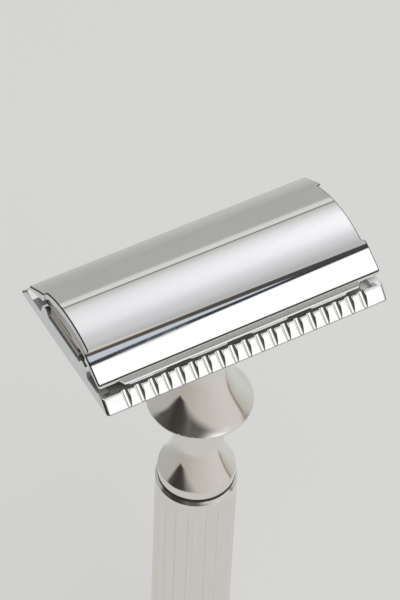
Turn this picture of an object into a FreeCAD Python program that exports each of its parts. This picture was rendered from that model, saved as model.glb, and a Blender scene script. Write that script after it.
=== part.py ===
"""Adjustable double-edge safety razor with a pull-off cap, one STEP file per piece.

Millimetres. +Z is up the handle, +X runs along the head, -Y is the front.
The origin is the centre of the foot's flat face, on which the razor stands.
"""

import FreeCAD
import Part
import math
import os

Vector = FreeCAD.Vector

# ------------------------------------------------------------------ blade, flat sizes
blade_length = 43.0
blade_width = 22.1
blade_thickness = 0.1
blade_tab_length = 2.9
blade_tab_width = 13.4
blade_shoulder_depth = 1.5
blade_bend_radius = 21.0
blade_slot_end_margin = 4.5
blade_slot_width = 2.4
blade_centre_hole_radius = 2.9
blade_post_hole_radius = 2.2

# ------------------------------------------------------------------ clearances
blade_clearance = 0.04
sliding_clearance = 0.05
bore_clearance = 0.15
bed_end_clearance = 0.15
bed_floor_clearance = 0.5

# ------------------------------------------------------------------ handle, from the foot up
foot_radius = 8.6
foot_rim_height = 1.4
foot_height = 13.0
foot_waist_radius = 4.9
foot_collar_height = 2.2
foot_recess_radius = 5.5
foot_recess_depth = 0.8
foot_tenon_length = 7.0
gasket_thickness = 0.6
gasket_inset = 0.35
grip_radius = 6.1
grip_length = 38.0
grip_bore_radius = 4.1
grip_end_chamfer = 0.5
flute_count = 20
flute_radius = 0.8
flute_depth = 0.38
flute_end_margin = 3.0
weight_radius = 3.9
weight_length = 16.0
stem_tenon_length = 8.0
stem_shoulder_height = 1.6
stem_flare_height = 7.5
waist_radius = 3.7
waist_length = 8.3
thread_radius = 3.0
thread_length = 10.0

# ------------------------------------------------------------------ adjuster
thread_lead = 1.0
turn_to_mildest = 100.0
turn_to_boldest = 150.0
collar_height = 17.55
collar_neck_radius = 4.2
collar_rim_radius = 7.74
collar_rim_land = 0.3
collar_flare_length = 3.2
collar_flare_points = 9
collar_skirt_wall = 0.9
collar_underside_depth = 2.0
scale_ring_radius = 5.4
scale_ring_height = 4.2
scale_ring_overlap = 1.2
scale_tick_count = 6
scale_tick_width = 0.3
scale_tick_height = 0.7
scale_tick_depth = 0.2
stop_pin_radius = 0.4
stop_pin_circle_radius = 4.35
stop_pin_engagement = 0.5
stop_slot_end_clearance = 0.3
stop_slot_side_clearance = 0.12
index_dot_radius = 0.45
index_dot_circle_radius = 6.75
washer_thickness = 0.4
spindle_radius = 2.0
spindle_flat = 1.6
spindle_flat_length = 7.5
spindle_tail_radius = 1.5
spindle_tail_length = 7.0
drag_ring_height = 0.9
drag_ring_depth = 0.4
drag_ring_drop = 3.3

# ------------------------------------------------------------------ guard
guard_end_margin = 0.22
guard_crest_reach = 0.45
guard_floor = 1.0
guard_bar_height = 1.85
guard_bar_lean = 1.55
guard_bar_foot = 0.15
guard_bar_land = 0.35
guard_bar_inner_run = 0.75
guard_wall_thickness = 1.4
guard_lug_height = 4.0
guard_lug_inner = 4.4
guard_lug_crest = 5.4
guard_lug_outer = 6.7
guard_recess_floor = 2.9
groove_pitch = 2.04
groove_plain_end = 3.3
groove_radius = 0.55
groove_depth = 0.42
groove_tilt = 9.5
lather_slot_count = 4
lather_slot_length = 6.6
lather_slot_width = 1.9
lather_slot_end_margin = 7.62
lather_slot_edge_gap = 0.25
hub_radius = 4.6
hub_flange_radius = 7.3
hub_flange_thickness = 1.2
hub_length = 4.0
hub_floor = 1.4
spring_pocket_radius = 3.5
spring_wire_width = 0.44
spring_radius = 2.75
spring_turns = 4
hub_screw_circle_radius = 5.85
hub_screw_radius = 0.7
hub_screw_head_radius = 1.25
hub_screw_head_height = 0.6
hub_screw_length = 1.9

# ------------------------------------------------------------------ bed and catches
bed_edge_gap = 2.25
bed_tongue_half_width = 3.9
bed_tongue_recess = 0.35
bed_tongue_gap = 0.5
bed_thickness = 3.86
bed_screw_radius = 1.25
bed_screw_length = 6.5
bed_screw_head_radius = 2.4
bed_screw_head_height = 1.2
spindle_register = 0.9
post_inset = 7.3
post_radius = 1.8
post_groove_radius = 1.35
post_groove_height = 0.8
post_spigot_radius = 1.2
post_spigot_height = 0.9
post_tip_radius = 1.2
post_tip_height = 0.5
post_bed_clearance = 0.15
clip_wire_radius = 0.3
clip_leg_length = 6.0
clip_grip_clearance = 0.02
clip_pocket_depth = 1.6
clip_pocket_margin = 0.7
clip_screw_radius = 0.7
clip_screw_length = 1.9
clip_screw_head_radius = 1.75
clip_screw_head_height = 0.6
driver_slot_width = 0.4
driver_slot_depth = 0.25

# ------------------------------------------------------------------ cap
cap_end_margin = 0.08
blade_exposure = 0.55
cap_crown = 1.86
cap_dome_radius = 14.0
cap_facet_angle = 31.0
cap_corner_radius = 0.6
cap_notch_depth = 0.56
cap_notch_half_width = 5.85
cap_notch_radius = 0.25

# ------------------------------------------------------------------ head sizes that follow the blade
blade_edge_reach = blade_bend_radius * math.sin(blade_width / 2 / blade_bend_radius)
guard_length = blade_length + 2 * guard_end_margin
guard_crest = blade_edge_reach + guard_crest_reach
guard_half_width = guard_crest + guard_bar_lean
groove_count = int((guard_length - 2 * groove_plain_end) / groove_pitch) + 1
lather_slot_pitch = (guard_length - 2 * lather_slot_end_margin) / (lather_slot_count - 1)
bed_half_width = blade_edge_reach - bed_edge_gap
post_spacing = blade_length - 2 * post_inset
cap_length = guard_length + 2 * cap_end_margin
cap_half_width = blade_edge_reach - blade_exposure

# ------------------------------------------------------------------ places up the handle
grip_base = foot_height + gasket_thickness
grip_top = grip_base + grip_length
stem_base = grip_top + gasket_thickness
waist_base = stem_base + stem_shoulder_height + stem_flare_height
thread_base = waist_base + waist_length
thread_top = thread_base + thread_length
full_turn = 360.0
lowest_travel = thread_lead * turn_to_boldest / full_turn
highest_travel = thread_lead * turn_to_mildest / full_turn
collar_rim = thread_base - lowest_travel - collar_rim_land
collar_top = collar_rim + collar_height
collar_underside = collar_rim + collar_underside_depth
stop_pin_top = collar_underside + highest_travel + stop_pin_engagement
stop_slot_roof = stop_pin_top + lowest_travel + stop_slot_end_clearance
hub_base = collar_top + washer_thickness
guard_base = hub_base + hub_length
guard_floor_top = guard_base + guard_floor
bed_base = guard_floor_top + bed_floor_clearance
bed_crest = bed_base + bed_thickness
blade_crest = bed_crest + blade_clearance + blade_thickness / 2
bend_centre = blade_crest - blade_bend_radius
bed_top_radius = blade_bend_radius - blade_thickness / 2 - blade_clearance
cap_under_radius = blade_bend_radius + blade_thickness / 2 + blade_clearance
cap_crest = bend_centre + cap_under_radius + cap_crown
clip_height = bed_base + clip_pocket_depth - clip_wire_radius
clip_leg_offset = post_groove_radius + clip_grip_clearance + clip_wire_radius
front_and_back = (-1, 1)
left_and_right = (-1, 1)


# ------------------------------------------------------------------ drawing helpers
def cylinder(radius, low, high, x=0.0, y=0.0):
    """An upright cylinder between two heights."""
    return Part.makeCylinder(radius, high - low, Vector(x, y, low))


def cone(low_radius, high_radius, low, high, x=0.0, y=0.0):
    """An upright cone frustum between two heights."""
    return Part.makeCone(low_radius, high_radius, high - low, Vector(x, y, low))


def box(low, high):
    """A box between two corners."""
    size = [b - a for a, b in zip(low, high)]
    return Part.makeBox(*size, Vector(*low))


def face_of(edges):
    """A plane face inside a closed loop of edges."""
    return Part.Face(Part.Wire(edges))


def polygon_edges(points):
    """Straight edges through the points, not closed."""
    return [Part.LineSegment(a, b).toShape() for a, b in zip(points, points[1:])]


def side_prism(profile, low_x, high_x):
    """A closed (y, z) outline pushed along X from low_x to high_x."""
    points = [Vector(low_x, y, z) for y, z in profile]
    return face_of(polygon_edges(points + points[:1])).extrude(Vector(high_x - low_x, 0, 0))


def plan_prism(outline, low, high):
    """A closed (x, y) outline pushed up from height low to high."""
    points = [Vector(x, y, low) for x, y in outline]
    return face_of(polygon_edges(points + points[:1])).extrude(Vector(0, 0, high - low))


def turned(profile):
    """A closed (radius, z) outline turned about the handle's axis."""
    points = [Vector(r, 0, z) for r, z in profile]
    return face_of(polygon_edges(points + points[:1])).revolve(Vector(0, 0, 0), Vector(0, 0, 1), 360)


def bent(flat_y):
    """Where a point at flat_y on the flat blade lies across the bent one."""
    return blade_bend_radius * math.sin(flat_y / blade_bend_radius)


def under_arc(radius, half_width, base, low_x, high_x):
    """The bar between a flat base and an arc of the blade's bend, as wide as given."""
    side = bend_centre + math.sqrt(radius**2 - half_width**2)
    right, left = Vector(low_x, half_width, side), Vector(low_x, -half_width, side)
    edges = [
        Part.Arc(right, Vector(low_x, 0, bend_centre + radius), left).toShape(),
        *polygon_edges([left, Vector(low_x, -half_width, base), Vector(low_x, half_width, base), right]),
    ]
    return face_of(edges).extrude(Vector(high_x - low_x, 0, 0))


def driver_slot(x, height, reach):
    """The cutter for a screwdriver slot in a head that faces down at the given height."""
    half = driver_slot_width / 2
    return box((x - half, -reach, height - driver_slot_depth), (x + half, reach, height + driver_slot_depth))


# ------------------------------------------------------------------ handle
def foot():
    """The flared foot, with a hollow under it and a tenon that enters the grip."""
    collar_low = foot_height - foot_collar_height
    ring_radius = grip_radius - gasket_inset
    sweep = [
        Vector(foot_radius, 0, foot_rim_height),
        Vector((foot_radius + foot_waist_radius) / 2 - 1, 0, (foot_rim_height + collar_low) / 2 - 2),
        Vector(foot_waist_radius, 0, collar_low),
    ]
    outline = [
        Part.Arc(*sweep).toShape(),
        *polygon_edges(
            [
                sweep[-1],
                Vector(ring_radius, 0, collar_low + 1),
                Vector(ring_radius, 0, foot_height),
                Vector(grip_bore_radius, 0, foot_height),
                Vector(grip_bore_radius, 0, foot_height + foot_tenon_length),
                Vector(0, 0, foot_height + foot_tenon_length),
                Vector(0, 0, foot_recess_depth),
                Vector(foot_recess_radius, 0, foot_recess_depth),
                Vector(foot_recess_radius, 0, 0),
                Vector(foot_radius, 0, 0),
                sweep[0],
            ]
        ),
    ]
    return face_of(outline).revolve(Vector(0, 0, 0), Vector(0, 0, 1), 360)


def gasket(base):
    """A flat sealing ring between the grip and its neighbour."""
    ring = cylinder(grip_radius - gasket_inset, base, base + gasket_thickness)
    return ring.cut(cylinder(grip_bore_radius, base, base + gasket_thickness))


def grip_sleeve():
    """The fluted tube that the fingers hold."""
    inner = grip_radius - grip_end_chamfer
    sleeve = turned(
        [
            (grip_bore_radius, grip_base),
            (inner, grip_base),
            (grip_radius, grip_base + grip_end_chamfer),
            (grip_radius, grip_top - grip_end_chamfer),
            (inner, grip_top),
            (grip_bore_radius, grip_top),
        ]
    )
    low, high = grip_base + flute_end_margin, grip_top - flute_end_margin
    reach = grip_radius - flute_depth + flute_radius
    flutes = []
    for i in range(flute_count):
        angle = 2 * math.pi * (i + 0.5) / flute_count
        x, y = reach * math.cos(angle), reach * math.sin(angle)
        ends = [Part.makeSphere(flute_radius, Vector(x, y, z)) for z in (low, high)]
        flutes.append(cylinder(flute_radius, low, high, x, y).fuse(ends))
    return sleeve.cut(flutes)


def balance_weight():
    """The plain slug in the grip, standing on the foot's tenon."""
    base = foot_height + foot_tenon_length
    return cylinder(weight_radius, base, base + weight_length)


def handle_stem():
    """The turned stem: tenon, flare, slim waist and the threaded end that the collar runs on."""
    ring_radius = grip_radius - gasket_inset
    shoulder = stem_base + stem_shoulder_height
    flare = [
        Vector(ring_radius, 0, shoulder),
        Vector((ring_radius + waist_radius) / 2 - 0.3, 0, (shoulder + waist_base) / 2 - 0.9),
        Vector(waist_radius, 0, waist_base),
    ]
    outline = [
        Part.Arc(*flare).toShape(),
        *polygon_edges(
            [
                flare[-1],
                Vector(waist_radius, 0, thread_base),
                Vector(thread_radius, 0, thread_base),
                Vector(thread_radius, 0, thread_top),
                Vector(spindle_tail_radius, 0, thread_top),
                Vector(spindle_tail_radius, 0, thread_top - spindle_tail_length),
                Vector(0, 0, thread_top - spindle_tail_length),
                Vector(0, 0, grip_top - stem_tenon_length),
                Vector(grip_bore_radius, 0, grip_top - stem_tenon_length),
                Vector(grip_bore_radius, 0, stem_base),
                Vector(ring_radius, 0, stem_base),
                flare[0],
            ]
        ),
    ]
    return face_of(outline).revolve(Vector(0, 0, 0), Vector(0, 0, 1), 360)


def spindle():
    """The rod from the stem to the bed. Its flats keep the guard square to the bed."""
    top = bed_base + spindle_register
    rod = cylinder(spindle_radius, thread_top, top)
    rod = rod.fuse(cylinder(spindle_tail_radius, thread_top - spindle_tail_length, thread_top))
    for side in front_and_back:
        edge = side * spindle_flat
        far = side * spindle_radius * 2
        low_y, high_y = min(edge, far), max(edge, far)
        reach = spindle_radius * 2
        rod = rod.cut(box((-reach, low_y, top - spindle_flat_length), (reach, high_y, top)))
    ring_low = collar_top - drag_ring_drop - drag_ring_height
    groove = cylinder(spindle_radius, ring_low, ring_low + drag_ring_height)
    groove = groove.cut(cylinder(spindle_radius - drag_ring_depth, ring_low, ring_low + drag_ring_height))
    screw_hole = cylinder(bed_screw_radius, bed_crest - bed_screw_length, top)
    return rod.cut([groove, screw_hole])


def drag_ring():
    """The ring in the spindle's groove whose rub keeps the collar where it is set."""
    low = collar_top - drag_ring_drop - drag_ring_height
    outer = spindle_radius + bore_clearance - sliding_clearance / 2
    ring = cylinder(outer, low, low + drag_ring_height)
    return ring.cut(cylinder(spindle_radius - drag_ring_depth, low, low + drag_ring_height))


def scale_ring():
    """The fixed ring under the collar, with a tick for each setting."""
    top = collar_rim + scale_ring_overlap
    ring = cylinder(scale_ring_radius, top - scale_ring_height, top)
    ring = ring.cut(cylinder(waist_radius, top - scale_ring_height, top))
    ring = ring.cut(cylinder(stop_pin_radius, top - scale_ring_height / 2, top, 0, -stop_pin_circle_radius))
    step = (turn_to_mildest + turn_to_boldest) / (scale_tick_count - 1)
    tick_top = collar_rim - lowest_travel
    for i in range(scale_tick_count):
        tick = box(
            (-scale_tick_width / 2, scale_ring_radius - scale_tick_depth, tick_top - scale_tick_height),
            (scale_tick_width / 2, scale_ring_radius + scale_tick_depth, tick_top),
        )
        tick.rotate(Vector(0, 0, 0), Vector(0, 0, 1), turn_to_mildest - i * step)
        ring = ring.cut(tick)
    return ring


def stop_pin():
    """The pin in the scale ring that meets the ends of the collar's slot."""
    top = collar_rim + scale_ring_overlap
    return cylinder(stop_pin_radius, top - scale_ring_height / 2, stop_pin_top, 0, -stop_pin_circle_radius)


# ------------------------------------------------------------------ adjuster collar
def flare_radius(height):
    """The collar's outer radius at a height above its rim: a neck that opens like a bell."""
    spread = collar_rim_radius - collar_neck_radius
    return collar_neck_radius + spread * math.exp(-height / collar_flare_length)


def stop_slot():
    """The cutter for the curved slot in the collar's underside that the stop pin stands in."""
    side = stop_pin_radius + stop_slot_side_clearance
    low, high = collar_underside - sliding_clearance, stop_slot_roof
    band = cylinder(stop_pin_circle_radius + side, low, high)
    band = band.cut(cylinder(stop_pin_circle_radius - side, low, high))
    margin = math.degrees(math.asin(side / stop_pin_circle_radius))
    start = -90 - turn_to_mildest - margin
    sweep = turn_to_mildest + turn_to_boldest + 2 * margin
    reach = stop_pin_circle_radius * 2
    wedge = Part.makeCylinder(reach, high - low, Vector(0, 0, low), Vector(0, 0, 1), sweep)
    wedge.rotate(Vector(0, 0, 0), Vector(0, 0, 1), start)
    return band.common(wedge)


def index_cutter():
    """The upright hole for the index dot, at the back of the bell."""
    return cylinder(index_dot_radius, collar_rim - 1, collar_rim + collar_height, 0, index_dot_circle_radius)


def collar_blank():
    """The bell before its slot and index hole are cut."""
    land_top = collar_rim + collar_rim_land
    run = collar_height - collar_rim_land
    points = []
    for i in range(collar_flare_points):
        share = i / (collar_flare_points - 1)
        height = run * share**2
        points.append(Vector(flare_radius(height), 0, land_top + height))
    curve = Part.BSplineCurve()
    curve.interpolate(points)
    inner = thread_radius + sliding_clearance
    upper_bore = spindle_radius + bore_clearance
    step = thread_top + lowest_travel + sliding_clearance
    skirt = collar_rim_radius - collar_skirt_wall
    outline = [
        curve.toShape(),
        *polygon_edges(
            [
                points[-1],
                Vector(upper_bore, 0, collar_top),
                Vector(upper_bore, 0, step),
                Vector(inner, 0, step),
                Vector(inner, 0, collar_underside),
                Vector(skirt - collar_underside_depth / 2, 0, collar_underside),
                Vector(skirt, 0, collar_rim),
                Vector(collar_rim_radius, 0, collar_rim),
                points[0],
            ]
        ),
    ]
    return face_of(outline).revolve(Vector(0, 0, 0), Vector(0, 0, 1), 360)


def adjuster_collar(blank):
    """The bell that is turned to raise or lower the guard."""
    return blank.cut([stop_slot(), index_cutter()])


def index_dot(blank):
    """The paint-filled dot, flush with the bell."""
    return blank.common(index_cutter())


def thrust_washer():
    """The washer between the turning collar and the guard's hub."""
    ring = cylinder(collar_neck_radius, collar_top, hub_base)
    return ring.cut(cylinder(spindle_radius + bore_clearance, collar_top, hub_base))


# ------------------------------------------------------------------ guard
def bar_outline():
    """The guard's end view, front to back, with both bars and the floor between them."""
    half = guard_half_width
    bar_top = guard_base + guard_bar_height
    inner = guard_crest - guard_bar_land
    foot_in = inner - guard_bar_inner_run
    right = [
        (half - guard_bar_foot, guard_base),
        (half, guard_base + guard_bar_foot),
        (guard_crest, bar_top),
        (inner, bar_top),
        (foot_in, guard_floor_top),
    ]
    return right + [(-y, z) for y, z in reversed(right)]


def end_wall_outline():
    """An end wall: as tall as the bars, with a lug each side of the recess for the bed's tongue."""
    half = guard_half_width
    bar_top = guard_base + guard_bar_height
    lug_top = guard_base + guard_lug_height
    recess = guard_base + guard_recess_floor
    shoulder = (guard_lug_inner + guard_lug_crest) / 2
    right = [
        (half - guard_bar_foot, guard_base),
        (half, guard_base + guard_bar_foot),
        (guard_crest, bar_top),
        (guard_lug_outer, bar_top),
        (guard_lug_crest + 0.7, lug_top - 0.45),
        (guard_lug_crest, lug_top),
        (shoulder, lug_top - 0.25),
        (guard_lug_inner, recess),
    ]
    return right + [(-y, z) for y, z in reversed(right)]


def bar_grooves():
    """The cutters for the grooves across both bars, each leaning so that it fades towards the foot."""
    rise = guard_bar_height - guard_bar_foot
    face_angle = math.atan2(rise, guard_bar_lean)
    angle = face_angle - math.radians(groove_tilt)
    reach = guard_half_width / 2
    cutters = []
    for side in front_and_back:
        along = Vector(0, -side * math.cos(angle), math.sin(angle))
        outward = Vector(0, side * math.sin(angle), math.cos(angle))
        crest_point = Vector(0, side * guard_crest, guard_base + guard_bar_height)
        axis_point = crest_point + outward * (groove_radius - groove_depth)
        start = axis_point - along * reach
        for i in range(groove_count):
            x = (i - (groove_count - 1) / 2) * groove_pitch
            cutters.append(Part.makeCylinder(groove_radius, 2 * reach, start + Vector(x, 0, 0), along))
    return cutters


def lather_slots():
    """The cutters for the round-ended slots in the floor, beside the bars."""
    outer = guard_crest - guard_bar_land - guard_bar_inner_run - lather_slot_edge_gap
    middle = outer - lather_slot_width / 2
    half = lather_slot_length / 2 - lather_slot_width / 2
    low, high = guard_base - 1, guard_floor_top + 1
    cutters = []
    for side in front_and_back:
        for i in range(lather_slot_count):
            x = (i - (lather_slot_count - 1) / 2) * lather_slot_pitch
            y = side * middle
            slot = box((x - half, y - lather_slot_width / 2, low), (x + half, y + lather_slot_width / 2, high))
            ends = [cylinder(lather_slot_width / 2, low, high, x + e, y) for e in (-half, half)]
            cutters.append(slot.fuse(ends))
    return cutters


def hub_screw_shape(x):
    """One countersunk screw, driven up through the hub's flange into the guard's floor."""
    head_top = guard_base - hub_flange_thickness + hub_screw_head_height
    head = cone(hub_screw_head_radius, hub_screw_radius, guard_base - hub_flange_thickness, head_top, x)
    shank = cylinder(hub_screw_radius, head_top, guard_base - hub_flange_thickness + hub_screw_length, x)
    return head.fuse(shank)


def guard_plate():
    """The plate with a grooved safety bar on each long side and a wall at each end."""
    half = guard_length / 2
    inside = half - guard_wall_thickness
    plate = side_prism(bar_outline(), -inside, inside)
    walls = [side_prism(end_wall_outline(), -half, -inside), side_prism(end_wall_outline(), inside, half)]
    plate = plate.fuse(walls).removeSplitter()
    hub_hole = cylinder(hub_radius, guard_base, guard_floor_top)
    screws = [hub_screw_shape(side * hub_screw_circle_radius) for side in left_and_right]
    return plate.cut([*bar_grooves(), *lather_slots(), hub_hole, *screws])


def spindle_hole(low, high):
    """The two-flatted hole that the spindle slides in."""
    hole = cylinder(spindle_radius + sliding_clearance, low, high)
    flat = spindle_flat + sliding_clearance
    reach = spindle_radius * 2
    return hole.common(box((-reach, -flat, low), (reach, flat, high)))


def guard_hub():
    """The flanged hub under the guard, with the spring's pocket and the flatted spindle hole."""
    flange_low = guard_base - hub_flange_thickness
    body = turned(
        [
            (0, hub_base),
            (hub_radius - 0.3, hub_base),
            (hub_radius, hub_base + 0.3),
            (hub_radius, flange_low - (hub_flange_radius - hub_radius) / 3),
            (hub_flange_radius - 0.4, flange_low),
            (hub_flange_radius, flange_low + 0.4),
            (hub_flange_radius, guard_base),
            (hub_radius, guard_base),
            (hub_radius, guard_floor_top),
            (0, guard_floor_top),
        ]
    )
    pocket = cylinder(spring_pocket_radius, hub_base + hub_floor, guard_floor_top)
    screws = [hub_screw_shape(side * hub_screw_circle_radius) for side in left_and_right]
    return body.cut([pocket, spindle_hole(hub_base, hub_base + hub_floor), *screws])


def hub_screws():
    """Both screws that hold the hub to the guard."""
    flange_low = guard_base - hub_flange_thickness
    screws = []
    for side in left_and_right:
        x = side * hub_screw_circle_radius
        screws.append(hub_screw_shape(x).cut(driver_slot(x, flange_low, hub_screw_head_radius)))
    return Part.makeCompound(screws)


def guard_spring():
    """The coil of square wire that pushes the guard down on to the collar."""
    half = spring_wire_width / 2
    low = hub_base + hub_floor + half + sliding_clearance
    high = bed_base - half - sliding_clearance
    path = Part.makeHelix((high - low) / spring_turns, high - low, spring_radius)
    path.translate(Vector(0, 0, low))
    corners = [(-half, -half), (half, -half), (half, half), (-half, half), (-half, -half)]
    section = Part.makePolygon([Vector(spring_radius + r, 0, low + z) for r, z in corners])
    return Part.Wire(path).makePipeShell([section], True, True)


# ------------------------------------------------------------------ bed, catches and blade
def post_places():
    """Where the two cap posts pass down, along X."""
    return [side * post_spacing / 2 for side in left_and_right]


def bed_screw():
    """The countersunk screw that holds the bed on the spindle."""
    top = bed_crest - blade_clearance
    head = cone(bed_screw_radius, bed_screw_head_radius, top - bed_screw_head_height, top)
    screw = head.fuse(cylinder(bed_screw_radius, bed_crest - bed_screw_length, top - bed_screw_head_height))
    half = driver_slot_width / 2
    reach = bed_screw_head_radius
    return screw.cut(box((-reach, -half, top - 2 * driver_slot_depth), (reach, half, top)))


def clip_pocket(x):
    """The cutter for the hollow under the bed that holds one catch clip."""
    inward = -1 if x > 0 else 1
    half_width = clip_leg_offset + clip_wire_radius + clip_pocket_margin
    tip = x - inward * (clip_leg_length / 3 + clip_pocket_margin)
    bend = x + inward * (clip_leg_length * 2 / 3 + half_width)
    low_x, high_x = min(tip, bend), max(tip, bend)
    return box((low_x, -half_width, bed_base), (high_x, half_width, bed_base + clip_pocket_depth))


def clip_anchor(x):
    """Where a clip's bend is centred, along X, for the post at x."""
    inward = -1 if x > 0 else 1
    return x + inward * clip_leg_length * 2 / 3


def catch_clip(x):
    """The hairpin spring whose legs close on a post's groove."""
    inward = -1 if x > 0 else 1
    anchor = clip_anchor(x)
    tip = anchor - inward * clip_leg_length
    offset = clip_leg_offset
    start, end = Vector(tip, -offset, clip_height), Vector(tip, offset, clip_height)
    bend_start, bend_end = Vector(anchor, -offset, clip_height), Vector(anchor, offset, clip_height)
    crown = Vector(anchor + inward * offset, 0, clip_height)
    path = Part.Wire(
        [
            Part.LineSegment(start, bend_start).toShape(),
            Part.Arc(bend_start, crown, bend_end).toShape(),
            Part.LineSegment(bend_end, end).toShape(),
        ]
    )
    section = Part.Wire(Part.makeCircle(clip_wire_radius, start, Vector(1, 0, 0)))
    return path.makePipeShell([section], True, True)


def clip_screw_shape(x):
    """One pan-headed screw that holds a clip's bend up against the bed."""
    anchor = clip_anchor(x)
    head_top = clip_height - clip_wire_radius
    head = cylinder(clip_screw_head_radius, head_top - clip_screw_head_height, head_top, anchor)
    return head.fuse(cylinder(clip_screw_radius, head_top, head_top + clip_screw_length, anchor))


def catch_screws():
    """Both clip screws."""
    head_low = clip_height - clip_wire_radius - clip_screw_head_height
    screws = []
    for x in post_places():
        slot = driver_slot(clip_anchor(x), head_low, clip_screw_head_radius)
        screws.append(clip_screw_shape(x).cut(slot))
    return Part.makeCompound(screws)


def blade_bed():
    """The crowned platform that the blade lies on, with a tongue at each end."""
    inside = guard_length / 2 - guard_wall_thickness - bed_end_clearance
    tongue_end = guard_length / 2 - bed_tongue_recess
    tongue_low = guard_base + guard_recess_floor + bed_tongue_gap
    bed = under_arc(bed_top_radius, bed_half_width, bed_base, -inside, inside)
    tongue = under_arc(bed_top_radius, bed_tongue_half_width, tongue_low, -tongue_end, tongue_end)
    bed = bed.fuse(tongue).removeSplitter()
    top = bed_crest - blade_clearance
    cutters = [
        cylinder(bed_screw_radius, bed_base, bed_crest),
        cone(bed_screw_radius, bed_screw_head_radius, top - bed_screw_head_height, top),
        cylinder(bed_screw_head_radius, top, bed_crest + 1),
    ]
    register = cylinder(spindle_radius, bed_base, bed_base + spindle_register)
    reach = spindle_radius * 2
    flats = box((-reach, -spindle_flat, bed_base), (reach, spindle_flat, bed_base + spindle_register))
    cutters.append(register.common(flats))
    for x in post_places():
        cutters.append(cylinder(post_radius + post_bed_clearance, bed_base, bed_crest + 1, x))
        cutters.append(clip_pocket(x))
        cutters.append(clip_screw_shape(x))
    return bed.cut(cutters)


def blade():
    """The thin blade, bent over the bed, cut to the double-edge pattern."""
    edge = blade_edge_reach
    tab = bent(blade_tab_width / 2)
    tab_end = blade_length / 2
    edge_end = tab_end - blade_tab_length
    shoulder = edge - blade_shoulder_depth
    quarter = [(edge_end - 0.5, edge), (edge_end, edge - 0.5), (edge_end + 0.6, shoulder), (edge_end + 0.6, tab + 0.5)]
    quarter += [(edge_end + 1.1, tab), (tab_end - 0.4, tab), (tab_end, tab - 0.4)]
    outline = quarter + [(x, -y) for x, y in reversed(quarter)]
    outline += [(-x, -y) for x, y in quarter] + [(-x, y) for x, y in reversed(quarter)]
    low, high = bend_centre, bend_centre + cap_under_radius + 1
    outer = blade_bend_radius + blade_thickness / 2
    inner = blade_bend_radius - blade_thickness / 2
    axis = Vector(1, 0, 0)
    start = Vector(-blade_length, 0, bend_centre)
    shell = Part.makeCylinder(outer, 2 * blade_length, start, axis)
    shell = shell.cut(Part.makeCylinder(inner, 2 * blade_length, start, axis))
    half_slot = tab_end - blade_slot_end_margin - blade_slot_width / 2
    holes = [
        box((-half_slot, -blade_slot_width / 2, low), (half_slot, blade_slot_width / 2, high)),
        cylinder(blade_centre_hole_radius, low, high),
    ]
    for side, x in zip(left_and_right, post_places()):
        holes.append(cylinder(blade_slot_width / 2, low, high, side * half_slot))
        holes.append(cylinder(blade_post_hole_radius, low, high, x))
    return shell.common(plan_prism(outline, low, high)).cut(holes)


# ------------------------------------------------------------------ cap
def cap_shell():
    """The domed cap, with a flat facet along each edge and a finger notch at each end."""
    half = cap_length / 2
    slope = math.radians(cap_facet_angle)
    dome_centre = cap_crest - cap_dome_radius
    break_y = cap_dome_radius * math.sin(slope)
    break_z = dome_centre + cap_dome_radius * math.cos(slope)
    edge_y = cap_half_width
    edge_top = break_z - (edge_y - break_y) * math.tan(slope)
    edge_low = bend_centre + math.sqrt(cap_under_radius**2 - edge_y**2)

    def point(y, z):
        return Vector(-half, y, z)

    edges = [
        Part.Arc(point(break_y, break_z), point(0, cap_crest), point(-break_y, break_z)).toShape(),
        *polygon_edges([point(-break_y, break_z), point(-edge_y, edge_top), point(-edge_y, edge_low)]),
        Part.Arc(
            point(-edge_y, edge_low), point(0, bend_centre + cap_under_radius), point(edge_y, edge_low)
        ).toShape(),
        *polygon_edges([point(edge_y, edge_low), point(edge_y, edge_top), point(break_y, break_z)]),
    ]
    body = face_of(edges).extrude(Vector(cap_length, 0, 0))
    low, high = edge_low - 1, cap_crest + 1
    plan = box((-half, -edge_y, low), (half, edge_y, high))
    for side in left_and_right:
        notch_end = side * (half - cap_notch_depth)
        far = side * (half + 1)
        low_x, high_x = min(notch_end, far), max(notch_end, far)
        plan = plan.cut(box((low_x, -cap_notch_half_width, low), (high_x, cap_notch_half_width, high)))
    upright = [e for e in plan.Edges if abs(e.BoundBox.ZLength - (high - low)) < 1e-6]
    corners = [e for e in upright if abs(abs(e.BoundBox.Center.y) - edge_y) < 1e-6]
    steps = [e for e in upright if abs(abs(e.BoundBox.Center.y) - cap_notch_half_width) < 1e-6]
    plan = plan.makeFillet(cap_corner_radius, corners)
    steps = [e for e in plan.Edges if any(e.BoundBox.Center.isEqual(s.BoundBox.Center, 1e-4) for s in steps)]
    plan = plan.makeFillet(cap_notch_radius, steps)
    body = body.common(plan)
    under = bend_centre + cap_under_radius
    spigots = [cylinder(post_spigot_radius, under - 1, under + post_spigot_height, x) for x in post_places()]
    return body.cut(spigots)


def cap_post(x, cap):
    """One catch post: a spigot in the cap, a round shank, a groove for the clip and a lead-in tip."""
    under = bend_centre + cap_under_radius
    groove_low, groove_high = clip_height - post_groove_height / 2, clip_height + post_groove_height / 2
    tip = bed_base + sliding_clearance
    post = cylinder(post_radius, groove_high, under, x).fuse(
        [
            cylinder(post_spigot_radius, under - post_spigot_height, under + post_spigot_height, x),
            cylinder(post_groove_radius, groove_low, groove_high, x),
            cylinder(post_radius, tip + post_tip_height, groove_low, x),
            cone(post_tip_radius, post_radius, tip, tip + post_tip_height, x),
        ]
    )
    return post.cut(cap).removeSplitter()


# ------------------------------------------------------------------ files
def save(name, shape):
    """Writes one piece to its own STEP file and prints what it is made of."""
    shape.exportStep(f"parts/{name}.step")
    print(f"{name:16s} solids {len(shape.Solids)}  valid {shape.isValid()}  volume {shape.Volume:9.3f}")


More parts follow.
